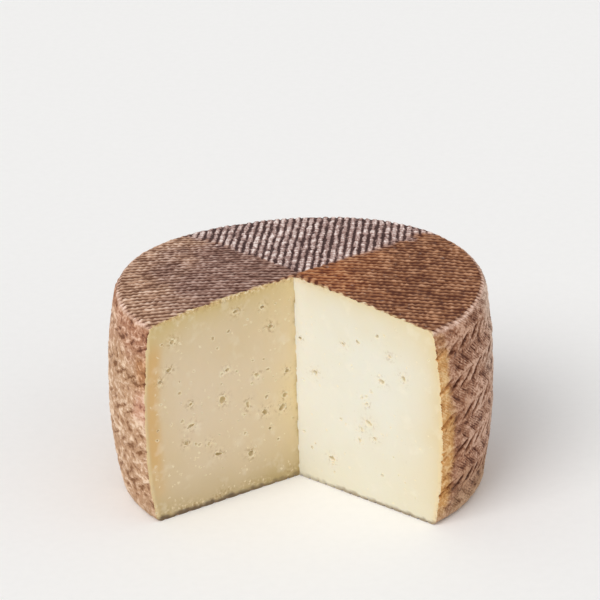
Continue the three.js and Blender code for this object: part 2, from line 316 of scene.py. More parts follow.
def side_relief(turn, z):
    """How deep the side lies under its outline, and how much of a groove that is, from 0 to 1; the latter
    darkens the rind's colour, partly as painted shade.
    """
    course = np.clip(np.searchsorted(COURSE_HEIGHTS, z, side="right") - 1, 0, COURSES - 1)
    low, high = COURSE_HEIGHTS[course], COURSE_HEIGHTS[course + 1]
    short = course % 2 == 1
    from_end = np.minimum(z - low, high - z)
    spot = polar(WHEEL_RADIUS, turn, z)
    wander = 0.09 * noise(spot, 9, 11) + 0.04 * noise(spot, 3.5, 12)
    across = (turn - side_lean(z) / WHEEL_RADIUS) * SLATS / (2 * math.pi) + wander
    slat = np.floor(across)
    part = across - slat
    of_slat = corner_values(np.stack([slat % SLATS, course, np.zeros(len(z))], axis=1), 21)
    broken = noise(spot, 3.2, 15, 2)

    slot = slat_slots(spot, part, of_slat, short, from_end, broken)
    slot = slot * np.where(short, SHORT_SLOT, TALL_SLOT)
    fibre = slat_fibres(spot, part, broken)
    from_ridge = np.where(short, high - z, z - low)
    ridge = np.exp(-((from_ridge / RIDGE_WIDTH) ** 2)) * np.clip(0.75 + 0.5 * noise(spot, 5, 16), 0, 1)
    rough = 0.16 * noise(spot, 2.6, 17, 2) + 0.22 * noise(spot, 16, 18)
    crumbs = noise(spot * WORN_STRETCH, 2.3, 22, 2)
    cells = np.clip(np.abs(noise(spot * WORN_STRETCH, 4.4, 25, 2)), 0, 1) ** 0.6
    kept = plait_left(turn, spot)

    fibre_depth = np.where(short, SHORT_FIBRE, TALL_FIBRE) * (0.35 + 0.65 * smooth(0.1, 1.6, from_end))
    plait = slot + fibre * fibre_depth
    worn = WORN_CELL * cells + WORN_CRUMB * crumbs - 0.15
    depth = SIDE_BED + plait * kept + worn * (1 - kept) + rough - SIDE_BED * ridge * (0.35 + 0.65 * kept)
    inside = smooth(1.0, LOWEST_COURSE + 1.0, z) * smooth(0.0, 2.4, RIM_HEIGHT - z)
    depth = depth * inside + (1 - inside) * (0.25 + 0.16 * noise(spot, 3, 19, 2))

    # This shade darkens the rind's colour in the slots, fibre lines and worn hollows, partly as painted
    # shade; the ridges are made paler, partly as painted highlight.
    wave = np.where(short, -0.06, 0.10 + 0.10 * np.cos(2 * math.pi * (part - 0.1)))
    plait_shade = 0.90 * slot + fibre * np.where(short, 0.25, 0.52) + wave + 0.30 * crumbs - 0.50 * ridge
    clumps = 0.08 * noise(spot, 9, 24) + 0.56 * cells + 0.10 * crumbs + 0.05 * np.where(short, 1, -1)
    worn_shade = clumps + 0.05 - 0.2 * ridge
    return np.clip(depth, 0, SIDE_DEEPEST), (plait_shade * kept + worn_shade * (1 - kept)) * inside


# ---- relief of the ribbed top and base ----


def rib_place(x, y, turn):
    """Distance from the nearest of the two middle lines, and distance along the rib from them."""
    c, s = math.cos(-turn), math.sin(-turn)
    u, v = np.abs(c * x - s * y), np.abs(s * x + c * y)
    return np.minimum(u, v), np.maximum(u, v)


def rubbed_edge(spot):
    """How much of the ribs the knife left along the cut's edges, from 0 to 1."""
    crumble = 1.8 * noise(spot, 3.2, 38, 2)
    kept = 1.0
    for side in (LEFT, RIGHT):
        along, behind = cut_place(spot, side)
        kept = kept * (1 - 0.5 * (along > 0) * fade(-0.2, 1.8, behind + crumble))
    return kept


def rib_relief(x, y):
    """How deep the ribbed top lies under its crown, and how much of a groove that is; the latter darkens
    the rind's colour, partly as painted shade.
    """
    m, along = rib_place(x, y, ROW_TURN)
    spot = np.stack([x, y, np.zeros(len(x))], axis=1)
    row = m / ROW_PITCH + 0.06 * noise(spot, 7, 31) + 0.04 * noise(spot, 2.4, 37)
    rib = np.round(row)
    off = np.abs(row - rib)
    shift = corner_values(np.stack([rib, np.sign(x), np.sign(y)], axis=1), 32)
    bead = 0.5 + 0.5 * np.cos(2 * math.pi * (along / BEAD_PITCH + shift) + 1.6 * noise(spot, 5, 33))
    lumps = noise(spot, 4.5, 34, 2)
    half = 0.20 + 0.07 * bead + 0.07 * lumps
    groove = smooth(half - 0.10, 0.46, off)
    deep = np.clip(0.84 + 0.34 * noise(spot, 4, 35), 0.3, 1.2)
    crest_drop = (BEAD_DROP * (1 - bead) + LUMP_DROP * (1 - lumps)) * (1 - groove)
    groove = groove * rubbed_edge(spot)
    depth = groove * ROW_DEPTH * deep + crest_drop + 0.07 * noise(spot, 1.6, 36) + RIB_BED
    # This shade darkens the colour in the grooves and where the crest sinks, partly as painted shade.
    shade = groove * (0.55 + 0.55 * deep) + 0.75 * crest_drop
    return np.clip(depth, 0, RIB_DEEPEST), np.clip(shade, 0, 1)


def rib_run_out(radius):
    """How much of the ribs is left on the smooth rim, from 0 to 1."""
    return fade(RIBBED_RADIUS + RUN_OUT_FROM, RIBBED_RADIUS + RUN_OUT_TO, radius)


def base_relief(m):
    """How deep the base lies over its ground plane: its ribs are pressed flat."""
    row = m / ROW_PITCH
    off = np.abs(row - np.round(row)) * ROW_PITCH
    return ROW_DEPTH * smooth(BASE_LAND / 2, ROW_PITCH / 2, off)


# ---- mesh helpers ----


def make_object(name, points, *face_groups):
    """An object from points in millimetres and arrays of faces with three or four corners."""
    mesh = bpy.data.meshes.new(name)
    corners = np.concatenate([group.ravel() for group in face_groups])
    sizes = np.concatenate([np.full(len(group), group.shape[1]) for group in face_groups])
    starts = np.concatenate([[0], np.cumsum(sizes)[:-1]])
    mesh.vertices.add(len(points))
    mesh.vertices.foreach_set("co", (points * MM).astype(np.float32).ravel())
    mesh.loops.add(len(corners))
    mesh.loops.foreach_set("vertex_index", corners.astype(np.int32))
    mesh.polygons.add(len(sizes))
    mesh.polygons.foreach_set("loop_start", starts.astype(np.int32))
    mesh.update(calc_edges=True)
    made = bpy.data.objects.new(name, mesh)
    bpy.context.scene.collection.objects.link(made)
    return made


def sheet_faces(rows, columns, closed=False):
    """The quads of a sheet of rows times columns points, which may close on itself sideways."""
    across = columns if closed else columns - 1
    row, column = np.meshgrid(np.arange(rows - 1), np.arange(across), indexing="ij")
    right = (column + 1) % columns
    faces = [row * columns + column, row * columns + right]
    faces += [(row + 1) * columns + right, (row + 1) * columns + column]
    return np.stack(faces, axis=-1).reshape(-1, 4)


def combine(target, operation, other):
    """Joins, cuts or keeps the common part of two objects. The other one is used up."""
    step = target.modifiers.new("combine", "BOOLEAN")
    step.operation, step.solver, step.object = operation, "MANIFOLD", other
    graph = bpy.context.evaluated_depsgraph_get()
    result = bpy.data.meshes.new_from_object(target.evaluated_get(graph))
    target.modifiers.remove(step)
    spent = target.data
    target.data = result
    bpy.data.meshes.remove(spent)
    bpy.data.meshes.remove(other.data)


def read_points(target):
    """The points of an object's mesh, in millimetres."""
    co = np.zeros(len(target.data.vertices) * 3, np.float32)
    target.data.vertices.foreach_get("co", co)
    return co.reshape(-1, 3).astype(float) / MM


# ---- the wheel before it is cut ----


def profile_rows():
    """Rows of the drum from the base to the top: radius, height and whether the row shows."""
    top_inner = RIBBED_RADIUS - SLAB_OVERLAP
    base_inner = BASE_RIBBED_RADIUS - SLAB_OVERLAP
    rows = [(base_inner - SLAB_OVERLAP, SLAB_BED, False), (base_inner, 0.0, False)]
    for turn in np.linspace(math.pi / 2, math.pi / 12, BASE_ROUND_ROWS):
        height = BASE_ROUND * (1 - math.sin(turn))
        rows.append((side_radius(height) - BASE_ROUND * (1 - math.cos(turn)), height, True))
    for low, high in zip(COURSE_HEIGHTS[:-1], COURSE_HEIGHTS[1:]):
        steps = round((high - low) / ROW_STEP)
        rows += [(side_radius(z), z, True) for z in low + (high - low) * np.arange(steps) / steps]
    rows.append((side_radius(COURSE_HEIGHTS[-1]), COURSE_HEIGHTS[-1], True))
    for turn in np.linspace(0, math.pi / 2, TOP_ROUND_ROWS)[1:]:
        radius = side_radius(RIM_HEIGHT) - TOP_ROUND * (1 - math.cos(turn))
        if radius > RIBBED_RADIUS:
            rows.append((radius, top_height(radius), True))
    rows.append((top_inner, top_height(top_inner), True))
    rows.append((top_inner - SLAB_OVERLAP, top_height(top_inner) - SLAB_BED, False))
    return rows


def barrel_object(name, rings, low, high):
    """A closed object from rings of points, the lowest ring first, and the middles of its two ends."""
    rows, columns = rings.shape[:2]
    ring = np.arange(columns)
    after = (ring + 1) % columns
    last = (rows - 1) * columns
    low_fan = np.stack([np.full(columns, rows * columns), after, ring], axis=1)
    high_fan = np.stack([np.full(columns, rows * columns + 1), last + ring, last + after], axis=1)
    points = np.vstack([rings.reshape(-1, 3), low, high])
    return make_object(name, points, sheet_faces(rows, columns, closed=True), low_fan, high_fan)


def make_drum():
    """The wheel with its plaited side and its rim, whose ends the ribbed slabs cover."""
    radius, height, shows = (np.array(v, float)[:, None] for v in zip(*profile_rows()))
    columns = SLATS * COLUMNS_PER_SLAT
    slope_r, slope_z = np.gradient(radius, axis=0), np.gradient(height, axis=0)
    length = np.hypot(slope_r, slope_z)
    out_r, out_z = slope_z / length, -slope_r / length
    turn = np.arange(columns)[None, :] * (2 * math.pi / columns) + side_lean(height) / WHEEL_RADIUS
    z = np.repeat(height, columns, axis=1)
    depth = side_relief(turn.ravel(), z.ravel())[0].reshape(z.shape) * shows
    rings = polar(radius - depth * out_r, turn, z - depth * out_z)
    flat = rings.reshape(-1, 3)
    rim_ribs = rib_relief(flat[:, 0], flat[:, 1])[0].reshape(z.shape)
    rim_ribs *= rib_run_out(radius) * (z > RIM_HEIGHT - 1)
    covered = COVERED_DEEPER * rim_ribs + COVERED_DROP
    rings[..., 2] -= np.where(radius < RIBBED_RADIUS, covered, rim_ribs)
    rings[..., 2] = np.where(height < 0.01, 0.0, rings[..., 2])
    rings = uneven(rings.reshape(-1, 3)).reshape(rings.shape)
    return barrel_object("cheese_wheel", rings, [0, 0, SLAB_BED], [0, 0, top_height(0.0) - SLAB_BED])


def quarter_grid(lines, steps):
    """A quarter of the ribbed face: L-shaped lines that turn on the quarter's diagonal, as x and y."""
    part = np.linspace(-1, 1, 2 * steps + 1)[None, :]
    m = lines[:, None]
    along = m + np.abs(part) * (SLAB_REACH - m)
    near = np.broadcast_to(m, along.shape)
    return np.where(part < 0, -along, -near), np.where(part < 0, near, along)


def make_slab(name, radius, rib_steps, along_step, turn, face_at, back):
    """A round slab with a ribbed face, whose four quarters share the lines where they meet."""
    lines = np.arange(0, radius * math.sqrt(0.5) + ROW_PITCH, ROW_PITCH / rib_steps)
    x, y = quarter_grid(lines, round(SLAB_REACH / along_step))
    rows, columns = x.shape
    count = rows * columns
    left, right = np.arange(rows) * columns, np.arange(rows) * columns + columns - 1
    rim = np.concatenate([left, (rows - 1) * columns + np.arange(1, columns), right[-2::-1]])
    quads = sheet_faces(rows, columns)
    face, deep, faces = [], [], []
    for quarter in range(4):
        c, s = math.cos(quarter * math.pi / 2 + turn), math.sin(quarter * math.pi / 2 + turn)
        px, py = (c * x - s * y).ravel(), (s * x + c * y).ravel()
        face.append(np.stack([px, py, face_at(px, py)], axis=1))
        deep.append(np.stack([px, py, np.full(count, back)], axis=1))
        top, bottom = quarter * count, (4 + quarter) * count
        a, b = rim[:-1], rim[1:]
        wall = np.stack([a + top, b + top, b + bottom, a + bottom], axis=1)
        faces += [quads + top, quads[:, ::-1] + bottom, wall]
    points = np.vstack(face + deep)
    rounded = np.round(points, 3) + 0.0
    _, first, number = np.unique(rounded, axis=0, return_index=True, return_inverse=True)
    slab = make_object(name, points[first], number.reshape(-1)[np.vstack(faces)])
    if back > face_at(np.zeros(1), np.zeros(1))[0]:
        slab.data.flip_normals()
    sides = round(radius * 4)
    around = np.arange(sides)[None, :] * (2 * math.pi / sides)
    ends = np.array([[-BEYOND], [RIM_HEIGHT + BEYOND]])
    disc = barrel_object("disc", polar(radius, around, ends), *([0, 0, end] for end in ends[:, 0]))
    combine(slab, "INTERSECT", disc)
    moved = uneven(read_points(slab))
    slab.data.vertices.foreach_set("co", (moved * MM).astype(np.float32).ravel())
    return slab


def make_wheel():
    """The whole wheel: the plaited drum, with the ribbed top and base let into its ends."""

    def top_face(x, y):
        return top_height(np.minimum(np.hypot(x, y), RIBBED_RADIUS)) - rib_relief(x, y)[0]

    def base_face(x, y):
        return base_relief(rib_place(x, y, -ROW_TURN)[0])

    wheel = make_drum()
    top_lines = (RIBBED_RADIUS, RIB_STEPS, ALONG_STEP, ROW_TURN)
    combine(wheel, "UNION", make_slab("top", *top_lines, top_face, RIM_HEIGHT - SLAB_DEEP))
    base_lines = (BASE_RIBBED_RADIUS, BASE_RIB_STEPS, BASE_ALONG_STEP, -ROW_TURN)
    combine(wheel, "UNION", make_slab("base", *base_lines, base_face, SLAB_DEEP))
    return wheel


# ---- the cut and its eyes ----


def cut_direction(side):
    """The way that a cut face runs from the apex: side is LEFT or RIGHT."""
    turn = math.radians(-CUT_LEFT if side == LEFT else CUT_RIGHT)
    return np.array([math.sin(turn), -math.cos(turn)])


def cut_normal(side):
    """The way that a cut face looks, into the opening."""
    x, y = cut_direction(side)
    return np.array([-y, x]) if side == LEFT else np.array([y, -x])


def cut_place(p, side):
    """Distance along a cut from the apex, and distance behind its face, of points."""
    offset = p[:, :2] - CUT_APEX
    return offset @ cut_direction(side), -(offset @ cut_normal(side))


def cut_wave(along, height, side):
    """How far a cut face lies behind its plane: a slow wave, the knife's lines and a torn corner."""
    spot = np.stack([along, height, np.full(len(along), 40.0 * side)], axis=1)
    wave = KNIFE_WAVE * noise(spot, 21, 43) + KNIFE_TREMBLE * noise(spot, 2.4, 44)
    wave += KNIFE_LINES * noise(spot * [1, 0.04, 1], 1.6, 41)
    torn = (TORN_CORNER + TORN_UNEVEN * noise(spot, 2.6, 42, 2)) * np.exp(-((along / TORN_WIDTH) ** 2))
    return smooth(0.5, 5, along) * wave + torn


def cut_points(along, height, side):
    """Points on a cut face from their distance along it and their height."""
    x, y = cut_direction(side)
    nx, ny = cut_normal(side)
    behind = cut_wave(along, height, side)
    px, py = CUT_APEX[0] + x * along - nx * behind, CUT_APEX[1] + y * along - ny * behind
    return np.stack([px, py, height], axis=1)


def make_wedge():
    """The missing wedge, whose two faces are fine sheets that meet at the apex."""
    coarse = [2 * WHEEL_RADIUS, 1.3 * WHEEL_RADIUS]
    along = np.concatenate([coarse, np.arange(CUT_REACH, 0, -CUT_STEP), [0.4]])
    height = np.concatenate([[-10], np.arange(-1, RIM_HEIGHT + 8, CUT_STEP), [RIM_HEIGHT + 18]])
    rings = []
    for z in height:
        level = np.full(len(along), z)
        corner = cut_points(np.zeros(1), np.full(1, z), RIGHT)
        corner = (corner + cut_points(np.zeros(1), np.full(1, z), LEFT)) / 2
        right = cut_points(along, level, RIGHT)
        left = cut_points(along[::-1], level, LEFT)
        rings.append(np.vstack([right, corner, left]))
    middle = CUT_APEX + WHEEL_RADIUS * (cut_direction(LEFT) + cut_direction(RIGHT)) / 2
    ends = [np.array([*middle, z]) for z in height[[0, -1]]]
    return barrel_object("wedge", np.array(rings), *ends)


def ball(subdivisions):
    """Points and triangles of a round ball of radius 1."""
    made = bmesh.new()
    bmesh.ops.create_icosphere(made, subdivisions=subdivisions, radius=1)
    points = np.array([v.co for v in made.verts])
    faces = np.array([[v.index for v in f.verts] for f in made.faces])
    made.free()
    return points, faces


def shape_eye(balls, side, place, draws, number):
    """An uneven hole on a cut face, half of it sunk in the paste. Returns its points and triangles."""
    along, height, width, tall = place
    lean = (next(draws) - 0.5) * 1.2
    depth = min(width, tall) * (0.35 + 0.25 * next(draws)) * 0.8
    spin = next(draws) * math.pi
    points, faces = balls[3 if width > FINER_FROM else 2]
    lumps = noise(points + 7.3 * number, 0.9, 51, 2)
    p = points * (1 + EYE_LUMPS * lumps)[:, None] * [width / 2, tall / 2, depth]
    lean += 0.15 * math.sin(spin)
    c, s = math.cos(lean), math.sin(lean)
    u, v = c * p[:, 0] - s * p[:, 1], s * p[:, 0] + c * p[:, 1]
    (x, y), (nx, ny) = cut_direction(side), cut_normal(side)
    px = CUT_APEX[0] + x * (along - u) + nx * p[:, 2]
    py = CUT_APEX[1] + y * (along - u) + ny * p[:, 2]
    turned = np.stack([px, py, height + v], axis=1)
    if side == RIGHT:
        faces = faces[:, ::-1]
    return turned, faces


def eye_places(side, largest, small_count, fine, pinholes, seed):
    """The places of one cut's eyes, as (place, draws): the large ones first, the pinholes last."""
    draws = random_draws(seed)
    for place in largest:
        yield place, draws
    for _ in range(small_count):
        along, height = 6 + 78 * next(draws), 9 + 88 * next(draws)
        size = SMALL_EYE * (0.8 + 0.6 * next(draws))
        yield (along, height, size, size * (0.6 + 0.4 * next(draws))), draws
    for along, height, size in fine:
        yield (along, height, size, size * (0.55 + 0.4 * next(draws))), draws
    for _ in range(pinholes):
        along, height = 3 + 86 * next(draws), 4 + 98 * next(draws)
        size = 0.5 + 0.6 * next(draws) ** 2
        yield (along, height, size, size * (0.6 + 0.4 * next(draws))), draws


def make_eyes():
    """The eyes as a few objects, in each of which no two eyes touch."""
    balls = {n: ball(n) for n in (2, 3)}
    layers = []
    kinds = [
        (LEFT, LEFT_EYES, LEFT_SMALL_EYES, LEFT_FINE_EYES, LEFT_PINHOLES, SEED + 1),
        (RIGHT, RIGHT_EYES, RIGHT_SMALL_EYES, RIGHT_FINE_EYES, RIGHT_PINHOLES, SEED + 2),
    ]
    for kind in kinds:
        for number, (place, draws) in enumerate(eye_places(*kind)):
            points, faces = shape_eye(balls, kind[0], place, draws, number)
            spot, reach = points.mean(axis=0), np.ptp(points, axis=0).max() * 0.75
            for layer in layers:
                if all(np.linalg.norm(spot - s) > reach + r for s, r, _, _ in layer):
                    layer.append((spot, reach, points, faces))
                    break
            else:
                layers.append([(spot, reach, points, faces)])
    made = []
    for layer in layers:
        counts = np.cumsum([0] + [len(eye[2]) for eye in layer])
        faces = [eye[3] + count for eye, count in zip(layer, counts)]
        made.append(make_object("eyes", np.vstack([eye[2] for eye in layer]), np.vstack(faces)))
    return made


def cut_wheel():
    """The wheel with its wedge cut out and its eyes, and the cut faces in the second material slot."""
    wheel = make_wheel()
    wheel.data.materials.clear()
    wheel.data.materials.append(rind_material())
    wheel.data.materials.append(paste_material())
    for cutter in [make_wedge(), *make_eyes()]:
        for slot in wheel.data.materials:
            cutter.data.materials.append(slot)
        cutter.data.polygons.foreach_set("material_index", np.full(len(cutter.data.polygons), PASTE))
        combine(wheel, "DIFFERENCE", cutter)
    return wheel


# ---- what the materials read from the mesh ----


def rind_crest(p, radius, turn, lid):
    """How far points of the rind stand out of its grooves, from 0 to 1: grooves get darker and crests
    paler colours, partly as painted shade and painted highlight.
    """
    z = p[:, 2]
    on_top = (radius < RIBBED_RADIUS + BOOLEAN_SLACK) & (z > lid - 2.5)
    on_base = (radius < BASE_RIBBED_RADIUS + BOOLEAN_SLACK) & (z < 1.6)
    crest = 1 - side_relief(turn, z)[1]
    rib_crest = 1 - rib_relief(p[:, 0], p[:, 1])[1]
    run_out = rib_run_out(radius) * (z > RIM_HEIGHT - 2.5)
    crest = np.where(on_top, rib_crest, crest + (rib_crest - crest) * run_out)
    base_depth = base_relief(rib_place(p[:, 0], p[:, 1], -ROW_TURN)[0])
    return np.where(on_base, 1 - 0.8 * base_depth / ROW_DEPTH, crest)


def rind_masks(p):
    """Where each look of the rind is, from 0 to 1, and how far a point stands out of its grooves."""
    radius, turn, z = np.hypot(p[:, 0], p[:, 1]), np.arctan2(p[:, 1], p[:, 0]), p[:, 2]
    lid = top_height(np.minimum(radius, RIBBED_RADIUS))
    patch = noise(p, 14, 61, 2)
    top = smooth(-5.5, -3.5, z - RIM_HEIGHT) * smooth(-3.5, -1.5, z - lid)
    side = 1 - top
    angle, fan = np.degrees(turn), math.degrees(ROW_TURN)
    off_back = from_degrees(turn, 90 + fan) + 2.5 * noise(p, 6, 62)
    off_left = from_degrees(turn, 180 + fan) + 2.5 * noise(p, 6, 63)
    top_left = top * fade(42, 49, off_left)
    side_left = side * fade(35, 75, from_degrees(turn, PALE_LEFT))
    edge_left, behind_left = cut_place(p, LEFT)
    edge_right, behind_right = cut_place(p, RIGHT)
    by_left = side * fade(5, 14, behind_left + 5 * patch) * (edge_left > ON_SIDE)
    by_right = side * (edge_right > ON_SIDE)
    from_left = np.where(edge_left > 0, behind_left, FAR_OFF)
    from_cut = np.minimum(from_left, np.where(edge_right > 0, behind_right, FAR_OFF))
    return {
        "crest": rind_crest(p, radius, turn, lid),
        "lid": top,
        "top_left": top_left,
        "top_tan": top_left * smooth(55, 88, radius + 9 * patch),
        "top_back": top * fade(42, 48, off_back),
        "top_front": top * smooth(42, 49, off_left) * smooth(42, 48, off_back),
        "top_red": top * fade(15, 60, radius + 12 * patch) * fade(50, 65, np.abs(angle + 20)),
        "rim": smooth(RIBBED_RADIUS - 0.1, RIBBED_RADIUS + 1.0, radius + 0.4 * patch)
        * smooth(-3.8, -1.6, z - RIM_HEIGHT + 0.5 * patch),
        "side_left": side_left,
        "ochre": by_right
        * fade(5.0, 11.5, behind_right + 3.2 * patch)
        * (1 - 0.75 * smooth(90, 100, z)),
        "side_high": side_left * smooth(78, 104, z + 6 * patch),
        "side_red": by_right
        * fade(16, 34, behind_right + 7 * patch)
        * (1 - 0.5 * smooth(50, 90, z)),
        "front_red": by_left * smooth(66, 80, z + 5 * patch) * fade(88, 96, z + 3 * patch),
        "front_pink": by_left * smooth(52, 60, z) * fade(66, 76, z),
        "side_far": side
        * smooth(-26, 4, angle + 6 * patch)
        * smooth(14, 40, z)
        * fade(30, 85, angle),
        "foot_right": side
        * fade(10, 30, z + 3 * patch)
        * smooth(5, 14, behind_right + 3 * patch)
        * fade(50, 90, np.abs(angle)),
        "underside": fade(1, 14, z + 4 * patch),
        "fringe": 0.85 * top * fade(0.3, 1.4, from_cut + 1.3 * noise(p, 1.9, 64, 2)),
    }


def near_eyes(along, z, eyes):
    """How near the rim of one of the larger eyes points on a cut are, from 0 to 1."""
    near = np.zeros(len(z))
    for eye_along, eye_height, width, tall in eyes:
        away = np.hypot((along - eye_along) / (width / 2 + 1), (z - eye_height) / (tall / 2 + 1))
        near = np.maximum(near, np.exp(-(away**2) / 2))
    return near


def die_away(distance, reach):
    """1 where the distance is 0 or less, dying away from there."""
    return np.exp(-np.maximum(distance, 0) / reach)


def paste_masks(p):
    """Where each look of the cut paste is, from 0 to 1."""
    radius, z = np.hypot(p[:, 0], p[:, 1]), p[:, 2]
    along_left, behind_left = cut_place(p, LEFT)
    along_right, behind_right = cut_place(p, RIGHT)
    on_left = np.abs(behind_left) < np.abs(behind_right)
    left = on_left.astype(float)
    along = np.where(on_left, along_left, along_right)
    behind = np.where(on_left, behind_left, behind_right)
    behind -= np.where(on_left, cut_wave(along, z, LEFT), cut_wave(along, z, RIGHT))
    patch = noise(p, 16, 71, 2)
    in_side = side_radius(z) - radius
    in_top = top_height(np.minimum(radius, RIBBED_RADIUS)) - z
    in_rind = np.minimum(in_side, in_top)
    by_ends = np.maximum(np.exp(-(((z - 3.5) / 3) ** 2)), die_away(in_top, 1.4))
    by_left_eye = 0.85 * near_eyes(along, z, LEFT_EYES)
    by_right_eye = 0.5 * near_eyes(along, z, RIGHT_EYES)
    return {
        # Which cut face a point is on; the left face gets darker colours, partly as painted shade.
        "left": left,
        # Painted shade inside the eyes: the paste is darkened with the depth of a hole.
        "eye": smooth(0.08, 1.1, behind),
        "skin": die_away(in_rind, 1.3),
        "near_side": die_away(in_side + 1.5 * patch, np.where(on_left, 9, 15)),
        "near_top": die_away(in_top + patch, np.where(on_left, 13, 8)),
        # Painted shade: the paste is darkened towards the floor.
        "painted_base_shade": die_away(z + 2 * patch, 15),
        "near_edge": 0.75 * left * by_ends * np.clip(0.6 + 0.8 * noise(p, 7, 74), 0, 1)
        + 0.5 * die_away(in_rind, 0.9),
        "near_apex": die_away(along + 2 * patch, 14) * (0.6 + 0.4 * np.exp(-(((z - 46) / 20) ** 2))),
        "stripe": left
        * smooth(2.4, 4.2, in_side)
        * fade(7, 13, in_side)
        * smooth(8, 36, z + 6 * patch)
        * fade(88, 102, z),
        # A thin dark line along the base of the cut: partly the rind there, partly a painted contact
        # shadow.
        "base_crust_and_shadow": fade(1.1, 3.0, z + 0.9 * noise(p, 2.5, 72) + 0.4 * (1 - left))
        * (0.6 + 0.4 * smooth(5, 45, along)),
        "corner": die_away(along, 0.9) * np.clip(0.6 + 0.7 * noise(p, 3.5, 73), 0, 1),
        "by_eye": np.where(on_left, by_left_eye, by_right_eye),
        "cream": smooth(0.2, 0.8, in_side) * fade(2.0, 3.2, in_side + 0.5 * patch),
    }


def store(mesh, name, values):
    """Keeps one value from 0 to 1 for each point, where a material can read it."""
    layer = mesh.attributes.new(name, "FLOAT", "POINT")
    layer.data.foreach_set("value", np.clip(values, 0, 1).astype(np.float32))


def read_array(items, name, kind, width=1):
    """One property of all items of a mesh, as an array with width columns."""
    values = np.zeros(len(items) * width, kind)
    items.foreach_get(name, values)
    return values if width == 1 else values.reshape(-1, width)


def mark_edges(mesh):
    """Keeps the edges of the cut and of its eyes sharp. Returns the points on the eyes' edges."""
    slot = read_array(mesh.polygons, "material_index", np.int32)
    normal = read_array(mesh.polygons, "normal", np.float32, 3)
    face_of = np.repeat(np.arange(len(slot)), read_array(mesh.polygons, "loop_total", np.int32))
    order = np.argsort(read_array(mesh.loops, "edge_index", np.int32), kind="stable")
    a, b = face_of[order].reshape(-1, 2).T
    steep = np.einsum("ij,ij->i", normal[a], normal[b]) < math.cos(SHARP_TURN)
    in_paste = steep & (slot[a] == PASTE)
    layer = mesh.attributes.new("sharp_edge", "BOOLEAN", "EDGE")
    layer.data.foreach_set("value", (slot[a] != slot[b]) | in_paste)
    return read_array(mesh.edges, "vertices", np.int32, 2)[in_paste]


def finish_mesh(wheel):
    """Stores the masks on the points, smooths the faces and keeps the cut's edges sharp."""
    mesh = wheel.data
    points = read_points(wheel)
    p = even(points)
    for name, values in {**rind_masks(p), **paste_masks(points)}.items():
        store(mesh, name, values)
    mesh.polygons.foreach_set("use_smooth", np.ones(len(mesh.polygons), bool))
    lip = np.zeros(len(points))
    lip[mark_edges(mesh)] = 1
    # A pale ring round the eyes: partly crumbly paste, partly a painted highlight on their rims.
    store(mesh, "lip", lip * (np.hypot(*(p[:, :2] - CUT_APEX).T) > LIP_FROM))
    mesh.update()


# ---- materials ----


def srgb(*levels):
    """A colour in Blender's linear numbers from red, green and blue of 0 to 255."""
    steps = [level / 255 for level in levels]
    return [s / 12.92 if s <= 0.04045 else ((s + 0.055) / 1.055) ** 2.4 for s in steps] + [1.0]


class Nodes:
    """A material's node tree, built by short calls that return output sockets."""

    def __init__(self, name):
        self.material = bpy.data.materials.new(name)
        self.material.use_nodes = True
        self.tree = self.material.node_tree
        self.shader = self.tree.nodes["Principled BSDF"]
        self.place = self.add("ShaderNodeTexCoord").outputs["Object"]

    def add(self, kind, inputs=(), **settings):
        node = self.tree.nodes.new(kind)
        for name, value in settings.items():
            setattr(node, name, value)
        for key, value in dict(inputs).items():
            self.put(node.inputs[key], value)
        return node

    def put(self, socket, value):
        if isinstance(value, bpy.types.NodeSocket):
            self.tree.links.new(value, socket)
        else:
            socket.default_value = value

    def mask(self, name):
        return self.add("ShaderNodeAttribute", attribute_name=name).outputs["Fac"]

    def math(self, operation, a, b=0.0, clamp=False):
        node = self.add("ShaderNodeMath", {0: a, 1: b}, operation=operation, use_clamp=clamp)
        return node.outputs[0]

    def times(self, a, b):
        return self.math("MULTIPLY", a, b)

    def plus(self, first, *others):
        for other in others:
            first = self.math("ADD", first, other)
        return first

    def swing(self, value, width):
        """A value from 0 to 1, moved and scaled to lie within half the width of 0."""
        return self.times(self.math("SUBTRACT", value, 0.5), width)

    def grain(self, size, detail=2.0, roughness=0.5, stretch=(1, 1, 1)):
        """Noise whose features are size millimetres across, from 0 to 1."""
        scaled = self.add("ShaderNodeMapping", {"Vector": self.place, "Scale": stretch})
        inputs = {"Vector": scaled.outputs[0], "Scale": 0.6 / (size * MM), "Detail": detail}
        return self.add("ShaderNodeTexNoise", {**inputs, "Roughness": roughness}).outputs[0]

    def ramp(self, value, low, high):
        """0 where value is below low, 1 above high."""
        inputs = {0: value, 1: low, 2: high}
        return self.add("ShaderNodeMapRange", inputs, interpolation_type="SMOOTHSTEP").outputs[0]

    def blend(self, factor, a, b):
        """A number between a and b."""
        return self.add("ShaderNodeMix", {0: factor, 2: a, 3: b}, data_type="FLOAT").outputs[0]

    def mix(self, factor, a, b):
        """A colour between a and b."""
        return self.add("ShaderNodeMix", {0: factor, 6: a, 7: b}, data_type="RGBA").outputs[2]


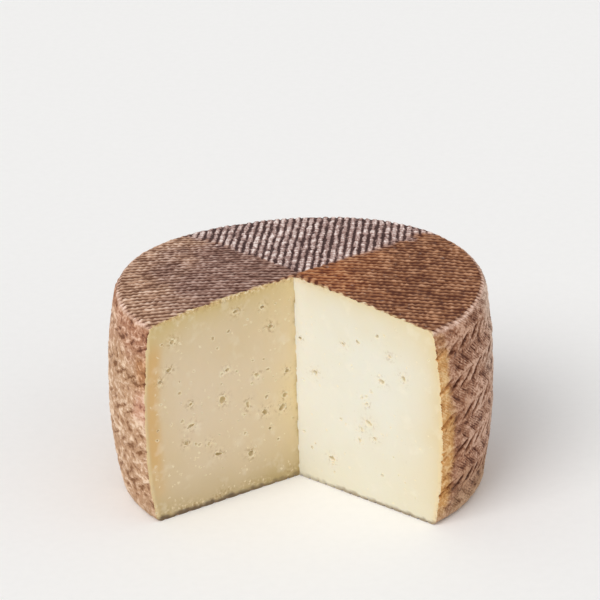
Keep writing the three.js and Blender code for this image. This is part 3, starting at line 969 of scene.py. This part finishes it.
# The rind's looks: the mask, then the colours of its grooves, its slopes and its crests. The dark grooves
# are partly painted shade, the pale crests partly painted highlight.
RIND_LOOKS = [
    ("", (96, 48, 26), (162, 114, 86), (222, 182, 158)),
    ("top_front", (84, 38, 14), (142, 93, 61), (200, 150, 116)),
    ("top_left", (78, 44, 32), (143, 107, 93), (198, 168, 156)),
    ("top_tan", (110, 72, 50), (186, 146, 120), (234, 204, 182)),
    ("top_back", (66, 38, 34), (172, 140, 132), (252, 236, 230)),
    ("top_red", (98, 42, 12), (162, 100, 60), (206, 152, 110)),
    ("rim", (134, 96, 76), (204, 164, 142), (246, 216, 200)),
    ("side_left", (132, 88, 52), (192, 151, 117), (240, 212, 184)),
    ("side_high", (104, 54, 30), (172, 120, 90), (232, 192, 166)),
    ("side_far", (108, 76, 58), (178, 143, 122), (236, 211, 192)),
    ("side_red", (96, 50, 28), (156, 104, 74), (208, 162, 132)),
    ("front_red", (112, 66, 34), (172, 120, 78), (218, 172, 134)),
    ("front_pink", (150, 96, 72), (204, 154, 126), (232, 196, 172)),
    ("ochre", (156, 98, 44), (212, 158, 94), (238, 200, 146)),
    ("foot_right", (80, 44, 26), (140, 98, 70), (188, 146, 114)),
    ("underside", (120, 82, 56), (174, 136, 102), (208, 174, 142)),
    ("fringe", (168, 124, 80), (222, 192, 146), (248, 232, 198)),
]


# The paste's colour, and its looks: the mask, its strength and its colour. Strengths and colours
# are given for the right cut face, then for the left.
# The left face's darker, yellower colours are partly painted shade, as that face is turned away from the
# key light.
PASTE_COLOURS = (233, 231, 217), (225, 206, 177)
CLOUDY_LOOKS = [
    ("near_side", (226, 206, 162), (216, 186, 134)),
    ("near_top", (226, 210, 168), (210, 186, 128)),
]
PASTE_LOOKS = [
    ("near_apex", 1, 1, (242, 240, 230), (242, 219, 168)),
    # painted shade darkening the paste towards the floor, much stronger on the left face
    ("painted_base_shade", 0.9, 0.9, (226, 220, 196), (180, 158, 106)),
    ("stripe", 0.65, 0.65, (216, 170, 100), (216, 170, 100)),
    ("cream", 0.6, 0.6, (236, 216, 172), (236, 216, 172)),
    ("skin", 0.35, 0.35, (206, 168, 116), (206, 168, 116)),
]
PASTE_MARKS = [  # these lie over the paste's grain
    # thin dark line at the base: partly rind, partly painted contact shadow, grey on the right face
    ("base_crust_and_shadow", 0.85, 0.85, (140, 122, 98), (84, 62, 46)),
    ("corner", 0, 0.75, (176, 150, 92), (176, 150, 92)),
    # pale ring round the eyes: partly crumbly paste, partly painted highlight on their rims
    ("lip", 0.8, 0.8, (246, 234, 204), (246, 234, 204)),
    # painted shade inside the eyes, by their depth
    ("eye", 1, 1, (206, 190, 150), (206, 184, 136)),
]


def rind_material():
    """Dry, brushed rind: dark grooves, pale rubbed crests, mottling and a dusty bloom; the grooves'
    darkness is partly painted shade and the crests' paleness partly painted highlight.
    """
    n = Nodes("rind")
    worn = n.mask("side_left")
    blotch, cloud = n.grain(3.5, 3), n.grain(22, 2)
    across, away = n.grain(0.75, 3, 0.65, (0.22, 1, 1)), n.grain(0.75, 3, 0.65, (1, 0.3, 1))
    on_side = n.blend(worn, n.grain(0.9, 3), n.blend(0.35, away, 0.5))
    fine = n.blend(n.mask("lid"), on_side, n.blend(n.mask("top_back"), across, away))
    crumbs = n.swing(n.grain(1.4, 4, 0.65, (1, 0.3, 1)), n.plus(0.3, n.times(worn, 0.3)))
    vein = n.math("ABSOLUTE", n.math("SUBTRACT", n.grain(3.4, 3, 0.55, (1, 0.4, 1)), 0.5))
    vein = n.math("SUBTRACT", 0.5, n.ramp(vein, 0.0, 0.10))
    level = n.plus(n.times(n.mask("crest"), 0.86), crumbs, n.times(vein, n.times(worn, 0.26)))
    level = n.plus(level, n.swing(fine, 1.5), n.swing(blotch, 0.70), n.swing(cloud, 0.35))
    tones = []
    for tone in (1, 2, 3):
        colour = srgb(*RIND_LOOKS[0][tone])
        for look in RIND_LOOKS[1:]:
            colour = n.mix(n.mask(look[0]), colour, srgb(*look[tone]))
        tones.append(colour)
    # Groove to crest colour by the crest level: partly the rind's own colours, partly painted shade in
    # the grooves and painted highlight on the crests.
    colour = n.mix(n.ramp(level, 0.12, 0.52), tones[0], tones[1])
    colour = n.mix(n.ramp(level, 0.50, 0.98), colour, tones[2])
    dust = n.ramp(n.grain(1.6, 4, 0.6), 0.60, 0.78)
    colour = n.mix(n.times(dust, 0.30), colour, srgb(226, 206, 192))
    n.put(n.shader.inputs["Base Color"], colour)
    n.put(n.shader.inputs["Roughness"], n.plus(0.62, n.times(blotch, 0.25)))
    n.shader.inputs["Specular IOR Level"].default_value = 0.35
    bump = n.add("ShaderNodeBump", {"Strength": 0.55, "Distance": 0.25 * MM, "Height": fine})
    n.put(n.shader.inputs["Normal"], bump.outputs[0])
    return n.material


def paste_material():
    """Pressed paste: ivory, waxy, slightly see-through, browner towards the rind; painted shade darkens
    it in the eyes and towards the base, and partly darkens the left face.
    """
    n = Nodes("paste")
    cloud, fine, curd = n.grain(26, 2), n.grain(0.8, 2), n.grain(5, 3)
    left = n.mask("left")

    # Right and left face colours; the left face's darker ones are partly painted shade.
    def by_face(right_colour, left_colour):
        return n.mix(left, srgb(*right_colour), srgb(*left_colour))

    def lay(colour, looks):
        for name, by_right, by_left, *colours in looks:
            factor = n.times(n.mask(name), n.blend(left, by_right, by_left))
            colour = n.mix(factor, colour, by_face(*colours))
        return colour

    colour = by_face(*PASTE_COLOURS)
    for name, *colours in CLOUDY_LOOKS:
        factor = n.math("ADD", n.mask(name), n.swing(cloud, 0.5), clamp=True)
        colour = n.mix(factor, colour, by_face(*colours))
    colour = lay(colour, PASTE_LOOKS)
    grit = n.grain(1.1, 3, 0.65)
    corner = n.times(n.mask("corner"), n.blend(left, 0.2, 0.8))
    edge = n.math("MAXIMUM", n.mask("near_edge"), corner)
    edge = n.math("MAXIMUM", edge, n.mask("by_eye"))
    colour = n.mix(n.times(n.ramp(grit, 0.53, 0.62), edge), colour, srgb(240, 224, 190))
    colour = n.mix(n.times(n.ramp(grit, 0.47, 0.38), edge), colour, srgb(170, 136, 88))
    colour = n.mix(n.times(n.ramp(curd, 0.56, 0.74), 0.20), colour, srgb(250, 244, 226))
    fleck = n.times(n.ramp(n.grain(1.3, 2), 0.66, 0.72), n.ramp(n.grain(11, 2), 0.50, 0.66))
    colour = n.mix(n.times(fleck, n.blend(left, 0.25, 0.6)), colour, srgb(246, 234, 202))
    colour = n.mix(n.times(n.ramp(fine, 0.66, 0.80), 0.14), colour, srgb(186, 150, 96))
    colour = lay(colour, PASTE_MARKS)
    n.put(n.shader.inputs["Base Color"], colour)
    n.put(n.shader.inputs["Roughness"], n.plus(0.42, n.times(fine, 0.2)))
    n.shader.inputs["Specular IOR Level"].default_value = 0.4
    n.shader.inputs["Subsurface Weight"].default_value = 0.25
    n.shader.inputs["Subsurface Radius"].default_value = (1.0, 0.75, 0.45)
    n.shader.inputs["Subsurface Scale"].default_value = 2.5 * MM
    height = n.plus(n.times(fine, 0.5), curd)
    bump = n.add("ShaderNodeBump", {"Strength": 0.35, "Distance": 0.2 * MM, "Height": height})
    n.put(n.shader.inputs["Normal"], bump.outputs[0])
    return n.material


def floor_material():
    """Plain, nearly white studio floor."""
    n = Nodes("floor")
    speck = n.grain(3, 2)
    n.put(n.shader.inputs["Base Color"], n.mix(speck, srgb(250, 250, 250), srgb(246, 246, 246)))
    n.shader.inputs["Roughness"].default_value = 0.8
    return n.material


# ---- floor, light and camera ----

FLOOR_SIZE = 8.0  # metres
WORLD_LIGHT = 0.55
KEY_LIGHT, KEY_WIDTH = 1.55, 40  # watts per square metre, degrees
KEY_FROM = Vector((-0.45, -0.52, 0.73))
FILL_LIGHT, FILL_WIDTH = 0.30, 70
FILL_FROM = Vector((0.75, -0.55, 0.35))

FOCAL_LENGTH = 180.0  # millimetres, on a sensor of 36
SENSOR = 36.0
CAMERA_DISTANCE = 1551.9
CAMERA_SEES_TO = 20.0  # metres
CAMERA_RISE = 0.4274  # radians above the horizontal
CAMERA_ROLL = -0.026
AIM = Vector((0, 0, 50))  # the middle of the wheel
AIM_RIGHT, AIM_UP = 0.06, 42.67  # how far from there the picture's middle lies, in millimetres


def add_floor():
    """The square floor that the wheel stands on."""
    points = np.array([[-1, -1, 0], [1, -1, 0], [1, 1, 0], [-1, 1, 0]]) * FLOOR_SIZE / 2 / MM
    floor = make_object("floor", points, np.array([[0, 1, 2, 3]]))
    floor.data.materials.append(floor_material())


def add_sun(name, power, width, colour, toward):
    """A lamp that shines evenly from one side; a wider one gives softer shadows."""
    lamp = bpy.data.lights.new(name, "SUN")
    lamp.energy, lamp.angle, lamp.color = power, math.radians(width), colour
    made = bpy.data.objects.new(name, lamp)
    made.rotation_euler = toward.to_track_quat("Z", "Y").to_euler()
    bpy.context.scene.collection.objects.link(made)


def add_lights():
    """An even white surround, a key light from the front left and a weak fill from the right."""
    world = bpy.data.worlds.new("studio")
    bpy.context.scene.world = world
    world.use_nodes = True
    world.node_tree.nodes["Background"].inputs["Color"].default_value = (1.0, 1.0, 1.0, 1.0)
    world.node_tree.nodes["Background"].inputs["Strength"].default_value = WORLD_LIGHT
    add_sun("key", KEY_LIGHT, KEY_WIDTH, (1.0, 0.985, 0.96), KEY_FROM)
    add_sun("fill", FILL_LIGHT, FILL_WIDTH, (1.0, 0.95, 0.88), FILL_FROM)


def add_camera():
    """A long lens from the photo's angle, a little above the wheel."""
    back = Vector((0, -math.cos(CAMERA_RISE), math.sin(CAMERA_RISE)))
    up = Vector((0, math.sin(CAMERA_RISE), math.cos(CAMERA_RISE)))
    spot = AIM + back * CAMERA_DISTANCE
    look = AIM + up * AIM_UP + Vector((AIM_RIGHT, 0, 0)) - spot
    lens = bpy.data.cameras.new("camera")
    lens.lens, lens.sensor_width = FOCAL_LENGTH, SENSOR
    lens.clip_end = CAMERA_SEES_TO
    camera = bpy.data.objects.new("camera", lens)
    turned = look.to_track_quat("-Z", "Y").to_matrix() @ Matrix.Rotation(CAMERA_ROLL, 3, "Z")
    camera.matrix_world = Matrix.Translation(spot * MM) @ turned.to_4x4()
    bpy.context.scene.collection.objects.link(camera)
    bpy.context.scene.camera = camera


# ---- the scene ----

bpy.context.scene.view_settings.view_transform = "Standard"
wheel = cut_wheel()
finish_mesh(wheel)
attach(wheel, "root")
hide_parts("cheese")
add_floor()
add_lights()
add_camera()

bpy.context.view_layer.update()
